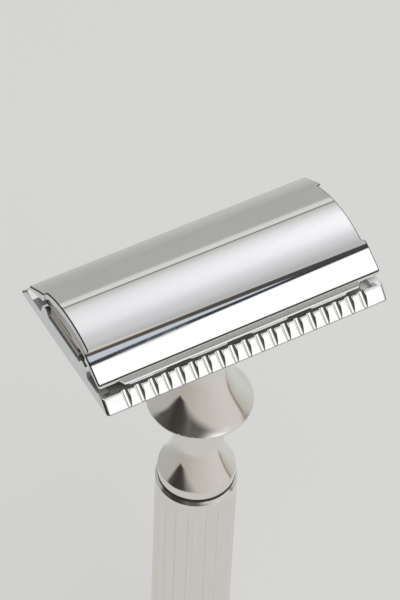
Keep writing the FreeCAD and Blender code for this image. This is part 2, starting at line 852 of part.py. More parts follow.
os.makedirs("parts", exist_ok=True)
left_post, right_post = post_places()
bell = collar_blank()
cap = cap_shell()
save("foot", foot())
save("foot_gasket", gasket(foot_height))
save("grip_sleeve", grip_sleeve())
save("balance_weight", balance_weight())
save("top_gasket", gasket(grip_top))
save("handle_stem", handle_stem())
save("scale_ring", scale_ring())
save("stop_pin", stop_pin())
save("spindle", spindle())
save("drag_ring", drag_ring())
save("adjuster_collar", adjuster_collar(bell))
save("index_dot", index_dot(bell))
save("thrust_washer", thrust_washer())
save("guard_hub", guard_hub())
save("hub_screws", hub_screws())
save("guard_plate", guard_plate())
save("guard_spring", guard_spring())
save("blade_bed", blade_bed())
save("bed_screw", bed_screw())
save("catch_clip_left", catch_clip(left_post))
save("catch_clip_right", catch_clip(right_post))
save("catch_screws", catch_screws())
save("blade", blade())
save("cap_shell", cap)
save("cap_post_left", cap_post(left_post, cap))
save("cap_post_right", cap_post(right_post, cap))
print("cap crest", round(cap_crest, 3), "guard base", round(guard_base, 3), "collar rim", round(collar_rim, 3))
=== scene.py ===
"""An adjustable safety razor with a pull-off cap, dressed with its real finishes.

Metres, with +Z up the handle, +X along the head and -Y to the front.
Shapes are drawn in millimetres and brought to metres as each piece is placed.
"""

import math

import bmesh
import bpy
from mathutils import Matrix, Vector


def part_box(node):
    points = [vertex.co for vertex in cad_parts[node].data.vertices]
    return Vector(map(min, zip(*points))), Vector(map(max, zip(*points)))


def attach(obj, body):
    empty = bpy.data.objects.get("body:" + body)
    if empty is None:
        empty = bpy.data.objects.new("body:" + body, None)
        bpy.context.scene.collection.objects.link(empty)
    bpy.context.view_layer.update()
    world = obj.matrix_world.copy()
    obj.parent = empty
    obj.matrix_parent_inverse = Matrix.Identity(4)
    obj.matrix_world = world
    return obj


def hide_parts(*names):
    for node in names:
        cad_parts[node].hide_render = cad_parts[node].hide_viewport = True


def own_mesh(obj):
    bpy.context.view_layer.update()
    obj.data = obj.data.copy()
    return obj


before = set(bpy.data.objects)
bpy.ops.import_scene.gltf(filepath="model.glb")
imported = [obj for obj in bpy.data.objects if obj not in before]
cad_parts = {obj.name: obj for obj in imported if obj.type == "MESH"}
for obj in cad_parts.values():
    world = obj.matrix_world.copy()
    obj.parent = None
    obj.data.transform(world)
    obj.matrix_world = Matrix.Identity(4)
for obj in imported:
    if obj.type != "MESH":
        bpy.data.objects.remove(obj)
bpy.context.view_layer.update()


# ---------------------------------------------------------------- camera
# A long lens looks down on the head from the front left, as a hand holds a razor up to look at it.
# The razor stands upright on its foot.
look_at = Vector((0, 0, 0.097353))
camera_distance = 0.3738
camera_azimuth, camera_elevation, camera_roll = math.radians(-31.68), math.radians(48.03), math.radians(2.69)
back = Vector(
    (
        math.sin(camera_azimuth) * math.cos(camera_elevation),
        -math.cos(camera_azimuth) * math.cos(camera_elevation),
        math.sin(camera_elevation),
    )
)
level = (-back).cross(Vector((0, 0, 1))).normalized()
upright = level.cross(-back)
across = math.cos(camera_roll) * level + math.sin(camera_roll) * upright
upward = -math.sin(camera_roll) * level + math.cos(camera_roll) * upright
lens = bpy.data.cameras.new("camera")
lens.lens, lens.sensor_width = 165.8, 36
lens.shift_x, lens.shift_y = -0.01, -0.0595
lens.clip_start, lens.clip_end = 0.01, 20
camera = bpy.data.objects.new("camera", lens)
camera.matrix_world = Matrix.Translation(look_at + back * camera_distance) @ Matrix(
    [[across[i], upward[i], back[i]] for i in range(3)]
).to_4x4()
bpy.context.scene.collection.objects.link(camera)
bpy.context.scene.camera = camera
bpy.context.scene.view_settings.view_transform = "Standard"


# ---------------------------------------------------------------- studio
# A pale table under plain soft light. Polished metal shows what stands round it: a long white
# softbox high in front, a dark card on the left, and the paler walls of the room.
def tone(red, green, blue, share=1.0):
    """A display colour, 0 to 255, as light, divided by the share of it that chrome gives back."""
    channels = [c / 255 for c in (red, green, blue)]
    return [(c / 12.92 if c <= 0.04045 else ((c + 0.055) / 1.055) ** 2.4) / share for c in channels]


class Shade:
    """A socket in a node tree: arithmetic on it adds Math nodes, and add() makes any other node."""

    def __init__(self, tree, socket=None):
        self.tree, self.socket = tree, socket

    def add(self, kind, settings=None, inputs=None, output=0):
        """A new node with its settings, then the values or links of its sockets."""
        node = self.tree.nodes.new(kind)
        for name, value in (settings or {}).items():
            if name == "stops":
                ramp = node.color_ramp
                ramp.elements.remove(ramp.elements[1])
                for i, (place, colour) in enumerate(value):
                    stop = ramp.elements.new(place) if i else ramp.elements[0]
                    stop.position, stop.color = place, (*colour, 1)
            else:
                setattr(node, name, value)
        for name, value in (inputs or {}).items():
            if isinstance(value, Shade):
                self.tree.links.new(value.socket, node.inputs[name])
            else:
                node.inputs[name].default_value = value
        return Shade(self.tree, node.outputs[output] if node.outputs else None)

    def out(self, name):
        """Another output of the same node."""
        return Shade(self.tree, self.socket.node.outputs[name])

    def maths(self, operation, *values):
        """A Math node on this socket and the values."""
        given = [self, *values] if self.socket else list(values)
        return self.add("ShaderNodeMath", {"operation": operation}, dict(enumerate(given)))

    def blend(self, factor, low, high):
        """A colour between low and high."""
        return self.add("ShaderNodeMix", {"data_type": "RGBA"}, {0: factor, 6: low, 7: high}, 2)

    def step(self, low, high):
        """0 below low, 1 above high, and smooth between; low may be the greater."""
        ends = {0: self, 1: low, 2: high, 3: 0.0, 4: 1.0}
        return self.add("ShaderNodeMapRange", {"interpolation_type": "SMOOTHSTEP"}, ends)

    def bump(self, strength, distance):
        """A normal that follows this height, as deep as distance in metres."""
        given = {"Strength": strength, "Distance": distance, "Height": self}
        return self.add("ShaderNodeBump", inputs=given)

    def __add__(self, other):
        return self.maths("ADD", other)

    def __mul__(self, other):
        return self.maths("MULTIPLY", other)

    def __sub__(self, other):
        return self.maths("SUBTRACT", other)

    def __truediv__(self, other):
        return self.maths("DIVIDE", other)

    def __rsub__(self, other):
        return Shade(self.tree).maths("SUBTRACT", other, self)

    __radd__, __rmul__ = __add__, __mul__


chrome_share = 0.87
table_tone = tone(214, 213.5, 211.5)
room = bpy.data.worlds.new("studio")
room.use_nodes = True
room.cycles.sampling_method = "NONE"
room.node_tree.nodes.clear()
air = Shade(room.node_tree)


def seen(*rgb):
    """What stands in the room, from the colour it has once chrome has given it back."""
    return (*tone(*rgb, chrome_share), 1)


def ring_of(degrees_and_tones, angle, low, high):
    """The tone at an angle, from (degrees, tone) pairs between low and high."""
    stops = [((d - low) / (high - low), seen(*t)[:3]) for d, t in degrees_and_tones]
    return air.add("ShaderNodeValToRGB", {"stops": stops}, {0: (angle - low) / (high - low)})


facing = air.add("ShaderNodeTexCoord", output="Generated")
aim = air.add("ShaderNodeSeparateXYZ", inputs={0: facing})
aim_x, aim_y, aim_z = aim.out("X"), aim.out("Y"), aim.out("Z")
degree = 180 / math.pi
over = aim_z.maths("ARCTAN2", aim_y) * degree
around = aim_y.maths("ARCTAN2", aim_x) * degree
height = aim_z.maths("ARCSINE") * degree
lean = (aim_x - 0.35).maths("MAXIMUM", -0.06).maths("MINIMUM", 0.06)
overhead_walls = [
    (-16, (192, 192, 191)),
    (-12.8, (186, 186, 184)),
    (-11.6, (183, 184, 182)),
    (-10.5, (177, 177, 175)),
    (-9.1, (172, 173, 169)),
    (-7, (169, 170, 165)),
    (-1.7, (166, 167, 162)),
    (12.7, (168, 169, 164)),
    (30, (168, 169, 165)),
    (32.4, (180, 181, 178)),
    (34.3, (206, 208, 205)),
    (39.8, (212, 213, 211)),
    (40.5, (116, 118, 116)),
    (41.6, (120, 122, 118)),
    (42.6, (188, 189, 183)),
    (44.2, (193, 194, 188)),
    (51.6, (218, 218, 220)),
    (59, (232, 232, 234)),
    (67, (239, 239, 241)),
    (73, (238, 238, 240)),
    (79.4, (232, 232, 234)),
    (84.5, (220, 220, 222)),
    (90, (207, 207, 209)),
    (95, (200, 200, 202)),
    (98.7, (191, 191, 192)),
    (102.3, (179, 179, 179)),
]
place_over = over - lean * 20
overhead = ring_of(overhead_walls, place_over, -16, 120)
glare = lean * over.step(48, 64) * over.step(100, 85) * 1.5 + 1
overhead = air.add("ShaderNodeVectorMath", {"operation": "SCALE"}, {0: overhead, "Scale": glare})
cream_edge = (over - lean * 47).step(103.4, 104.6)
brown_bar = (over - lean * 47).step(105.5, 106.4)
blue_gap = (over - lean * 50).step(110.0, 110.7)
navy_bar = (over + lean * 17).step(112.5, 113.0)
softbox_edge = (over + lean * 12).step(113.95, 114.25)
brown = air.blend(lean.step(-0.06, 0.06), seen(90, 80, 70), seen(66, 66, 67))
overhead = air.blend(cream_edge * lean.step(-0.005, -0.03), overhead, seen(200, 197, 190))
overhead = air.blend(brown_bar, overhead, brown)
overhead = air.blend(blue_gap * lean.step(0.03, 0.018), overhead, seen(190, 196, 205))
overhead = air.blend(navy_bar, overhead, seen(56, 60, 67))
overhead = air.blend(softbox_edge, overhead, (1.16, 1.16, 1.16, 1))
front_walls = [
    (-180, (168, 164, 157)),
    (-125, (182, 176, 168)),
    (-100, (190, 185, 177)),
    (-76, (200, 195, 189)),
    (-60, (203, 198, 194)),
    (-32, (203, 198, 192)),
    (-27, (138, 132, 123)),
    (-18, (134, 130, 121)),
    (-12, (186, 182, 175)),
    (10, (195, 194, 188)),
    (60, (169, 170, 165)),
    (155, (169, 170, 165)),
    (180, (168, 164, 157)),
]
front = ring_of(front_walls, around, -180, 180)
low_walls = [
    (-180, (172, 166, 158)),
    (-150, (178, 171, 163)),
    (-124, (188, 181, 173)),
    (-107, (192, 185, 177)),
    (-79, (198, 193, 187)),
    (-54, (204, 197, 192)),
    (-31, (203, 197, 190)),
    (-28, (188, 182, 173)),
    (-25.4, (138, 132, 122)),
    (-23.4, (138, 132, 122)),
    (-21, (176, 171, 160)),
    (-9, (189, 185, 176)),
    (3, (193, 192, 186)),
    (14, (197, 197, 192)),
    (45, (190, 190, 187)),
    (69, (169, 170, 165)),
    (110, (173, 171, 166)),
    (152, (172, 169, 163)),
    (180, (172, 166, 158)),
]
low = ring_of(low_walls, around, -180, 180)
underneath = air.blend(around.step(60, 100), seen(198, 197, 193), seen(184, 185, 185))
low = air.blend(height.step(-50, -36), underneath, low)
behind = around.step(20, 40) * around.step(160, 150)
walls = air.blend(height.step(13, 19), low, front)
walls = air.blend(height.step(34, 37), walls, overhead)
walls = air.blend(behind * height.step(10, 14), walls, overhead)
walls = air.blend(around.step(40, 55) * around.step(108, 95) * height.step(-17, -15), walls, overhead)
glint = height + (around + 66.5) * 0.18
window = around.step(-72, -71) * around.step(-61, -62) * glint.step(27.15, 27.4) * glint.step(28.7, 28.45)
walls = air.blend(window, walls, (1.16, 1.16, 1.16, 1))


def edge_of(heights_and_spreads):
    """How far from due left the dark card reaches at each height, both in degrees."""
    stops = [((h + 30) / 80, ((spread + 20) / 120,) * 3) for h, spread in heights_and_spreads]
    return air.add("ShaderNodeValToRGB", {"stops": stops}, {0: (height + 30) / 80}) * 120 - 20


card_front = edge_of(
    [(-30, -10), (-27, 2), (-21, 17), (-9, 29), (5, 45), (19, 66), (29, 82), (36, 84), (43, 76), (49, 76)]
)
card_rear = edge_of(
    [(-30, -10), (-27, 0), (-20, 8), (-12, 12), (-3, 16), (5, 21), (12, 27), (20, 35), (28, 42)]
)
reach_left = 180 - around.maths("ABSOLUTE")
fold = aim_y.maths("LESS_THAN", 0.0)
blur = height.step(-32, 14) * (fold * 14 + 2) + 5
card = (((card_front * fold + card_rear * (1 - fold) - reach_left) / blur).step(-1, 1)) * height.step(60, 56)
card_folds = [
    (146, (104, 101, 96)),
    (155, (80, 78, 73)),
    (166, (77, 75, 70)),
    (173, (74, 72, 67)),
    (178, (64, 60, 56)),
    (184, (57, 53, 49)),
    (188, (65, 54, 52)),
    (193, (60, 59, 54)),
    (200, (61, 61, 56)),
    (206, (71, 67, 60)),
    (211, (85, 81, 74)),
    (218, (100, 99, 94)),
    (226, (89, 86, 81)),
    (236, (93, 90, 85)),
]
unrolled = around + around.maths("LESS_THAN", 0.0) * 360
strands = ring_of(card_folds, unrolled, 140, 240)
walls = air.blend(card, walls, strands)
path = air.add("ShaderNodeLightPath")
light = air.blend(path.out("Is Glossy Ray"), (0.6, 0.6, 0.6, 1), walls)
light = air.blend(path.out("Is Camera Ray"), light, (*table_tone, 1))
glow = air.add("ShaderNodeBackground", inputs={"Color": light, "Strength": 1.0})
air.add("ShaderNodeOutputWorld", inputs={"Surface": glow})
bpy.context.scene.world = room

softbox = bpy.data.lights.new("softbox", "AREA")
softbox.shape, softbox.size, softbox.size_y, softbox.energy = "RECTANGLE", 1.2, 0.8, 9.0
softbox_stand = bpy.data.objects.new("softbox", softbox)
softbox_stand.location = (0.25, -0.55, 1.2)
softbox_aim = Vector((0, 0, 0.05)) - softbox_stand.location
softbox_stand.rotation_euler = softbox_aim.to_track_quat("-Z", "Y").to_euler()
softbox_stand.visible_glossy = False
bpy.context.scene.collection.objects.link(softbox_stand)

table_mesh = bmesh.new()
bmesh.ops.create_circle(table_mesh, cap_ends=True, radius=3.0, segments=64)
table_data = bpy.data.meshes.new("table")
table_mesh.to_mesh(table_data)
table = bpy.data.objects.new("table", table_data)
bpy.context.scene.collection.objects.link(table)
table_paint = bpy.data.materials.new("table_paint")
table_paint.use_nodes = True
table_paint.node_tree.nodes.clear()
top = Shade(table_paint.node_tree)
spot = top.add("ShaderNodeTexCoord", output="Object")
reach = top.add("ShaderNodeVectorMath", {"operation": "LENGTH"}, {0: spot}, "Value")
grain = top.add("ShaderNodeTexNoise", inputs={"Vector": spot, "Scale": 9.0, "Detail": 3.0})
tint = top.blend(grain, (*table_tone, 1), (*tone(217, 216.5, 214.5), 1))
rays = top.add("ShaderNodeLightPath")
tint = top.blend(rays.out("Is Glossy Ray"), tint, (*tone(210, 206, 201), 1))
matt = top.add("ShaderNodeBsdfDiffuse", inputs={"Color": tint})
even = top.add("ShaderNodeEmission", inputs={"Color": tint})
surface = top.add("ShaderNodeMixShader", inputs={0: reach.step(0.5, 1.2) * 0.3 + 0.7, 1: matt, 2: even})
clear = top.add("ShaderNodeBsdfTransparent")
beyond = rays.out("Is Glossy Ray") * reach.step(0.05, 0.065)
surface = top.add("ShaderNodeMixShader", inputs={0: beyond, 1: surface, 2: clear})
top.add("ShaderNodeOutputMaterial", inputs={"Surface": surface})
table_data.materials.append(table_paint)


# ---------------------------------------------------------------- foot
# The heavy flared foot that the razor stands on, turned from brass bar and chromed.
# It is hollowed underneath, and its tenon is pressed into the grip above a rubber ring.
foot_radius, foot_rim, foot_height, foot_waist, foot_collar = 8.6, 1.4, 13.0, 4.9, 2.2
foot_recess_radius, foot_recess_depth, foot_tenon = 5.5, 0.8, 7.0
grip_radius, grip_bore, seal_inset = 6.1, 4.1, 0.35
ring_radius = grip_radius - seal_inset


def draw(bm, points, start=None):
    """Joins points in order by straight edges, carrying on from start, and returns the last vertex."""
    last = start
    for point in points:
        vert = bm.verts.new(point)
        if last:
            bm.edges.new((last, vert))
        last = vert
    return last


def sweep(bm, vert, centre, axis, angle, steps):
    """Carries a line on from vert round centre by an angle in radians, and returns the last vertex."""
    swept = bmesh.ops.spin(bm, geom=[vert], cent=centre, axis=axis, angle=angle, steps=steps)
    return next(g for g in swept["geom_last"] if isinstance(g, bmesh.types.BMVert))


def bow(bm, vert, middle, end, steps):
    """Carries an outline in the XZ plane on from vert, on an arc through middle to end, both (x, z)."""
    ax, az = vert.co.x - end[0], vert.co.z - end[1]
    bx, bz = middle[0] - end[0], middle[1] - end[1]
    cross = 2 * (ax * bz - bx * az)
    a2, b2 = ax * ax + az * az, bx * bx + bz * bz
    centre = Vector((end[0] + (a2 * bz - b2 * az) / cross, 0, end[1] + (b2 * ax - a2 * bx) / cross))
    first, last = vert.co - centre, Vector((end[0], 0, end[1])) - centre
    turn = math.atan2(first.z * last.x - first.x * last.z, first.dot(last))
    return sweep(bm, vert, centre, (0, 1, 0), turn, steps)


def turn(bm, steps=96):
    """Turns an outline in the XZ plane round the handle's axis into a closed solid."""
    bmesh.ops.spin(
        bm,
        geom=bm.verts[:] + bm.edges[:],
        cent=(0, 0, 0),
        axis=(0, 0, 1),
        angle=2 * math.pi,
        steps=steps,
        use_merge=True,
    )
    bmesh.ops.remove_doubles(bm, verts=bm.verts, dist=1e-4)
    bmesh.ops.recalc_face_normals(bm, faces=bm.faces)


def round_off(bm, edges, width, segments):
    """Rounds edges by a width."""
    bmesh.ops.bevel(
        bm,
        geom=edges,
        offset=width,
        offset_type="OFFSET",
        segments=segments,
        profile=0.5,
        affect="EDGES",
        clamp_overlap=False,
        material=-1,
    )


def soften(bm, width, angle=30, segments=2):
    """Rounds every edge that turns by more than an angle in degrees."""
    sharp = [e for e in bm.edges if e.is_manifold and e.calc_face_angle(0) > math.radians(angle)]
    round_off(bm, sharp, width, segments)


def place(bm, name, body, material, slot, *nodes):
    """Makes the mesh an object in metres, riding on a body and standing for the CAD nodes."""
    drawn = bpy.data.meshes.new("drawn")
    bm.to_mesh(drawn)
    bm.free()
    drawn.shade_smooth()
    drawing = bpy.data.objects.new("drawing", drawn)
    bpy.context.scene.collection.objects.link(drawing)
    flatten = drawing.modifiers.new("flatten", "WEIGHTED_NORMAL")
    flatten.mode, flatten.weight = "FACE_AREA", 50
    data = bpy.data.meshes.new_from_object(drawing.evaluated_get(bpy.context.evaluated_depsgraph_get()))
    bpy.data.meshes.remove(drawn)
    data.name = name
    data.transform(Matrix.Scale(0.001, 4))
    data.materials.append(material)
    piece = bpy.data.objects.new(name, data)
    bpy.context.scene.collection.objects.link(piece)
    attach(piece, body)
    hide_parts(*nodes)
    return piece


def finish_of(name):
    """A new material with its node tree emptied, and a Shade on that tree."""
    material = bpy.data.materials.new(name)
    material.use_nodes = True
    material.node_tree.nodes.clear()
    return material, Shade(material.node_tree)


def coat(shade, inputs):
    """The Principled shader with its inputs, joined to the material's output."""
    skin = shade.add("ShaderNodeBsdfPrincipled", inputs=inputs)
    shade.add("ShaderNodeOutputMaterial", inputs={"Surface": skin})


def chrome_of(name, rims=None, dull=None, haze=None):
    """Chrome: with painted shade darkening its rims, dull where a buff can't reach with painted shade or a
    painted reflection as its colour there, and rougher where it is hazy.
    """
    material, plating = finish_of(name)
    spot = plating.add("ShaderNodeTexCoord", output="Object")
    noise = {"Vector": spot, "Scale": 140.0, "Detail": 4.0, "Roughness": 0.6}
    breath = plating.add("ShaderNodeTexNoise", inputs=noise)
    ripple = plating.add("ShaderNodeTexNoise", inputs={"Vector": spot, "Scale": 70.0, "Detail": 1.0})
    speck = plating.add("ShaderNodeTexNoise", inputs={"Vector": spot, "Scale": 5200.0, "Detail": 2.0})
    colour = plating.blend(breath, (0.845, 0.850, 0.850, 1), (0.885, 0.885, 0.880, 1))
    roughness = 0.02 + breath.step(0.45, 0.75) * 0.03 + speck.step(0.6, 0.75) * 0.02
    place = plating.add("ShaderNodeSeparateXYZ", inputs={0: spot})
    # Where rims() says, a near-black colour is painted along the edges as painted shade.
    if rims:
        normal = plating.add("ShaderNodeNewGeometry", output="Normal")
        facing = plating.add("ShaderNodeSeparateXYZ", inputs={0: normal})
        colour = plating.blend(rims(facing, place), colour, (0.09, 0.093, 0.09, 1))
    # Where dull() says, the chrome is dull and not metal, and its colour there is painted shade or a painted
    # reflection.
    if dull:
        bare, painted_well_tone = dull(place)
        colour = plating.blend(bare, colour, painted_well_tone)
        roughness = roughness + bare * 0.4
    if haze:
        roughness = roughness + haze(place)
    coat(
        plating,
        {
            "Base Color": colour,
            "Metallic": 1.0 - bare if dull else 1.0,
            "Roughness": roughness,
            "Normal": ripple.bump(1.0, 0.000012),
        },
    )
    return material


chrome = chrome_of("polished_chrome")

bm = bmesh.new()
collar_low = foot_height - foot_collar
edge = draw(
    bm, [(0, 0, foot_recess_depth), (foot_recess_radius, 0, foot_recess_depth), (foot_recess_radius, 0, 0)]
)
edge = draw(bm, [(foot_radius, 0, 0), (foot_radius, 0, foot_rim)], edge)
middle = ((foot_radius + foot_waist) / 2 - 1, (foot_rim + collar_low) / 2 - 2)
edge = bow(bm, edge, middle, (foot_waist, collar_low), 28)
tenon_top = foot_height + foot_tenon
draw(
    bm,
    [
        (ring_radius, 0, collar_low + 1),
        (ring_radius, 0, foot_height),
        (grip_bore, 0, foot_height),
        (grip_bore, 0, tenon_top),
        (0, 0, tenon_top),
    ],
    edge,
)
turn(bm)
soften(bm, 0.12, 24, 3)
place(bm, "chromed_foot", "handle", chrome, "polished_chrome", "foot")


# ---------------------------------------------------------------- rubber rings
# Two flat black rubber rings seal the grip at its ends, and a third in a groove of the spindle
# rubs on the adjuster, so that the setting stays put.
rubber, gum = finish_of("seal_rubber")
spot = gum.add("ShaderNodeTexCoord", output="Object")
bloom = gum.add("ShaderNodeTexNoise", inputs={"Vector": spot, "Scale": 500.0, "Detail": 5.0})
pores = gum.add("ShaderNodeTexNoise", inputs={"Vector": spot, "Scale": 6000.0, "Detail": 2.0})
coat(
    gum,
    {
        "Base Color": gum.blend(bloom.step(0.4, 0.7), (0.012, 0.012, 0.013, 1), (0.032, 0.032, 0.034, 1)),
        "Roughness": 0.55 + bloom * 0.25,
        "Normal": pores.bump(0.6, 0.00002),
    },
)


def finish(node, material):
    """Gives a CAD node its finish."""
    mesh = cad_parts[node].data
    mesh.materials.clear()
    mesh.materials.append(material)


for node in ("foot_gasket", "top_gasket", "drag_ring"):
    finish(node, rubber)


# ---------------------------------------------------------------- grip
# The chromed brass tube that the fingers hold, with round-ended flutes milled along it.
# It is pressed over the foot's tenon and the stem's.
grip_low, grip_high, grip_chamfer = 13.6, 51.6, 0.5
flute_count, flute_radius, flute_depth, flute_margin = 20, 0.8, 0.38, 3.0


def cut(bm, cutter):
    """Takes a cutter's solids out of a solid."""
    pair = []
    for mesh in (bm, cutter):
        data = bpy.data.meshes.new("blank")
        mesh.to_mesh(data)
        pair.append(bpy.data.objects.new("blank", data))
        bpy.context.scene.collection.objects.link(pair[-1])
    blank, tool = pair
    milling = blank.modifiers.new("milling", "BOOLEAN")
    milling.operation, milling.solver, milling.object = "DIFFERENCE", "EXACT", tool
    bpy.context.view_layer.update()
    milled = bpy.data.meshes.new_from_object(blank.evaluated_get(bpy.context.evaluated_depsgraph_get()))
    bm.clear()
    bm.from_mesh(milled)
    for item in pair:
        bpy.data.meshes.remove(item.data)
    bpy.data.meshes.remove(milled)
    cutter.free()
    bmesh.ops.remove_doubles(bm, verts=bm.verts, dist=2e-3)
    bmesh.ops.dissolve_degenerate(bm, edges=bm.edges, dist=2e-3)


bm = bmesh.new()
inner = grip_radius - grip_chamfer
edge = draw(
    bm,
    [
        (grip_bore, 0, grip_low),
        (inner, 0, grip_low),
        (grip_radius, 0, grip_low + grip_chamfer),
        (grip_radius, 0, grip_high - grip_chamfer),
        (inner, 0, grip_high),
        (grip_bore, 0, grip_high),
    ],
)
bm.verts.ensure_lookup_table()
bm.edges.new((edge, bm.verts[0]))
turn(bm, 160)
mill = bmesh.new()
tip = draw(mill, [(0, 0, grip_low + flute_margin - flute_radius)])
tip = sweep(mill, tip, (0, 0, grip_low + flute_margin), (0, 1, 0), -math.pi / 2, 6)
tip = draw(mill, [(flute_radius, 0, grip_high - flute_margin)], tip)
sweep(mill, tip, (0, 0, grip_high - flute_margin), (0, 1, 0), -math.pi / 2, 6)
turn(mill, 24)
flute_place = grip_radius - flute_depth + flute_radius
bmesh.ops.translate(mill, vec=(flute_place, 0, 0), verts=mill.verts)
bmesh.ops.rotate(
    mill, cent=(0, 0, 0), matrix=Matrix.Rotation(math.pi / flute_count, 3, "Z"), verts=mill.verts
)
bmesh.ops.spin(
    mill,
    geom=mill.verts[:] + mill.edges[:] + mill.faces[:],
    cent=(0, 0, 0),
    axis=(0, 0, 1),
    angle=2 * math.pi * (flute_count - 1) / flute_count,
    steps=flute_count - 1,
    use_duplicate=True,
)
cut(bm, mill)
soften(bm, 0.05, 24)
place(bm, "fluted_grip", "handle", chrome, "polished_chrome", "grip_sleeve")


# ---------------------------------------------------------------- balance weight
# A plain brass slug inside the grip, standing on the foot's tenon. Brass is also the thrust
# washer that the adjuster turns against.
brass, alloy = finish_of("brass_slug")
spot = alloy.add("ShaderNodeTexCoord", output="Object")
rings = alloy.add("ShaderNodeMapping", inputs={"Vector": spot, "Scale": (60.0, 60.0, 5200.0)})
turned = alloy.add("ShaderNodeTexNoise", inputs={"Vector": rings, "Scale": 1.0, "Detail": 3.0})
patina = alloy.add("ShaderNodeTexNoise", inputs={"Vector": spot, "Scale": 260.0, "Detail": 5.0})
coat(
    alloy,
    {
        "Base Color": alloy.blend(patina.step(0.35, 0.7), (0.78, 0.56, 0.27, 1), (0.58, 0.39, 0.18, 1)),
        "Metallic": 1.0,
        "Roughness": 0.24 + patina * 0.2,
        "Normal": turned.bump(0.5, 0.00001),
    },
)
finish("balance_weight", brass)
finish("thrust_washer", brass)


# ---------------------------------------------------------------- stem
# The turned stem above the grip: a flare, then a slim waist that ends in the thread the adjuster
# runs on. It is chromed brass, and its tenon is pressed into the grip.
stem_base, stem_shoulder, waist_base, waist_radius = 52.2, 53.8, 61.3, 3.7
thread_base, thread_top, thread_radius, tail_radius, tail_low = 69.6, 79.6, 3.0, 1.5, 72.6

bm = bmesh.new()
edge = draw(
    bm,
    [
        (0, 0, tail_low),
        (0, 0, grip_high - 8.0),
        (grip_bore, 0, grip_high - 8.0),
        (grip_bore, 0, stem_base),
        (ring_radius, 0, stem_base),
        (ring_radius, 0, stem_shoulder),
    ],
)
middle = ((ring_radius + waist_radius) / 2 - 0.3, (stem_shoulder + waist_base) / 2 - 0.9)
edge = bow(bm, edge, middle, (waist_radius, waist_base), 24)
draw(
    bm,
    [
        (waist_radius, 0, thread_base),
        (thread_radius, 0, thread_base),
        (thread_radius, 0, thread_top),
        (tail_radius, 0, thread_top),
        (tail_radius, 0, tail_low),
        (0, 0, tail_low),
    ],
    edge,
)
turn(bm)
soften(bm, 0.1, 24, 3)
place(bm, "chromed_stem", "handle", chrome, "polished_chrome", "handle_stem")


# ---------------------------------------------------------------- scale ring, pin and spindle
# The fixed ring with the setting marks, its stop pin, the spindle on which the guard slides, and the small
# screws and springs of the head. The ring is chromed, and the rest is plain turned steel with a satin
# finish.
steel, satin = finish_of("satin_steel")
spot = satin.add("ShaderNodeTexCoord", output="Object")
strokes = satin.add("ShaderNodeMapping", inputs={"Vector": spot, "Scale": (300.0, 300.0, 7000.0)})
turned = satin.add("ShaderNodeTexNoise", inputs={"Vector": strokes, "Scale": 1.0, "Detail": 4.0})
oil = satin.add("ShaderNodeTexNoise", inputs={"Vector": spot, "Scale": 420.0, "Detail": 4.0})
coat(
    satin,
    {
        "Base Color": satin.blend(oil, (0.50, 0.495, 0.49, 1), (0.68, 0.675, 0.67, 1)),
        "Metallic": 1.0,
        "Roughness": 0.2 + turned * 0.16 + oil.step(0.5, 0.8) * 0.08,
        "Normal": turned.bump(0.6, 0.000008),
    },
)
for node in (
    "stop_pin",
    "spindle",
    "hub_screws",
    "bed_screw",
    "catch_clip_left",
    "catch_clip_right",
    "catch_screws",
    "cap_post_left",
    "cap_post_right",
):
    finish(node, steel)
finish("scale_ring", chrome)


# ---------------------------------------------------------------- adjuster
# The bell-shaped collar under the head, turned from brass and chromed. It runs on the stem's
# thread, and turning it lifts or lowers the guard. A dot of red enamel marks the setting.
rim_radius, neck_radius, flare_length, rim_land = 7.74, 4.2, 3.2, 0.3
rim, bell_top, underside, underside_depth = 68.883, 86.433, 70.883, 2.0
bore, spindle_bore, bore_step, skirt = 3.05, 2.15, 80.066667, 6.84
stop_circle, stop_side, stop_roof, stop_start, stop_sweep = 4.35, 0.52, 72.377444, -100.0, 250.0
dot_radius, dot_place, dot_depth = 0.45, 6.75, 7.0

bm = bmesh.new()
edge = draw(
    bm,
    [
        (spindle_bore, 0, bell_top),
        (spindle_bore, 0, bore_step),
        (bore, 0, bore_step),
        (bore, 0, underside),
        (skirt - underside_depth / 2, 0, underside),
        (skirt, 0, rim),
        (rim_radius, 0, rim),
    ],
)
flare_steps = 44
run = bell_top - rim - rim_land
flare = []
for i in range(flare_steps + 1):
    climb = run * (i / flare_steps) ** 1.7
    radius = neck_radius + (rim_radius - neck_radius) * math.exp(-climb / flare_length)
    flare.append((radius, 0, rim + rim_land + climb))
edge = draw(bm, flare, edge)
bm.verts.ensure_lookup_table()
bm.edges.new((edge, bm.verts[0]))
turn(bm, 144)
mill = bmesh.new()
low_side, high_side = stop_circle - stop_side, stop_circle + stop_side
corner = draw(
    mill,
    [
        (low_side, 0, underside - 0.05),
        (high_side, 0, underside - 0.05),
        (high_side, 0, stop_roof),
        (low_side, 0, stop_roof),
    ],
)
mill.verts.ensure_lookup_table()
mill.edges.new((corner, mill.verts[0]))
bmesh.ops.contextual_create(mill, geom=mill.edges[:])
margin = math.asin(stop_side / stop_circle)
bmesh.ops.rotate(
    mill,
    cent=(0, 0, 0),
    matrix=Matrix.Rotation(math.radians(-90 + stop_start) - margin, 3, "Z"),
    verts=mill.verts,
)
bmesh.ops.spin(
    mill,
    geom=mill.faces[:],
    cent=(0, 0, 0),
    axis=(0, 0, 1),
    angle=math.radians(stop_sweep) + 2 * margin,
    steps=60,
)
bmesh.ops.recalc_face_normals(mill, faces=mill.faces)
bmesh.ops.create_cone(
    mill,
    cap_ends=True,
    segments=32,
    radius1=dot_radius,
    radius2=dot_radius,
    depth=dot_depth + 1,
    matrix=Matrix.Translation((0, dot_place, rim + (dot_depth - 1) / 2)),
)
cut(bm, mill)
soften(bm, 0.07, 32)


def rim_haze(place):
    """How much rougher the bell is close to its rim."""
    return place.out("Z").step(0.0701, 0.0698) * 0.14


bell_chrome = chrome_of("bell_chrome", haze=rim_haze)
place(bm, "adjuster_bell", "collar", bell_chrome, "polished_chrome", "adjuster_collar")

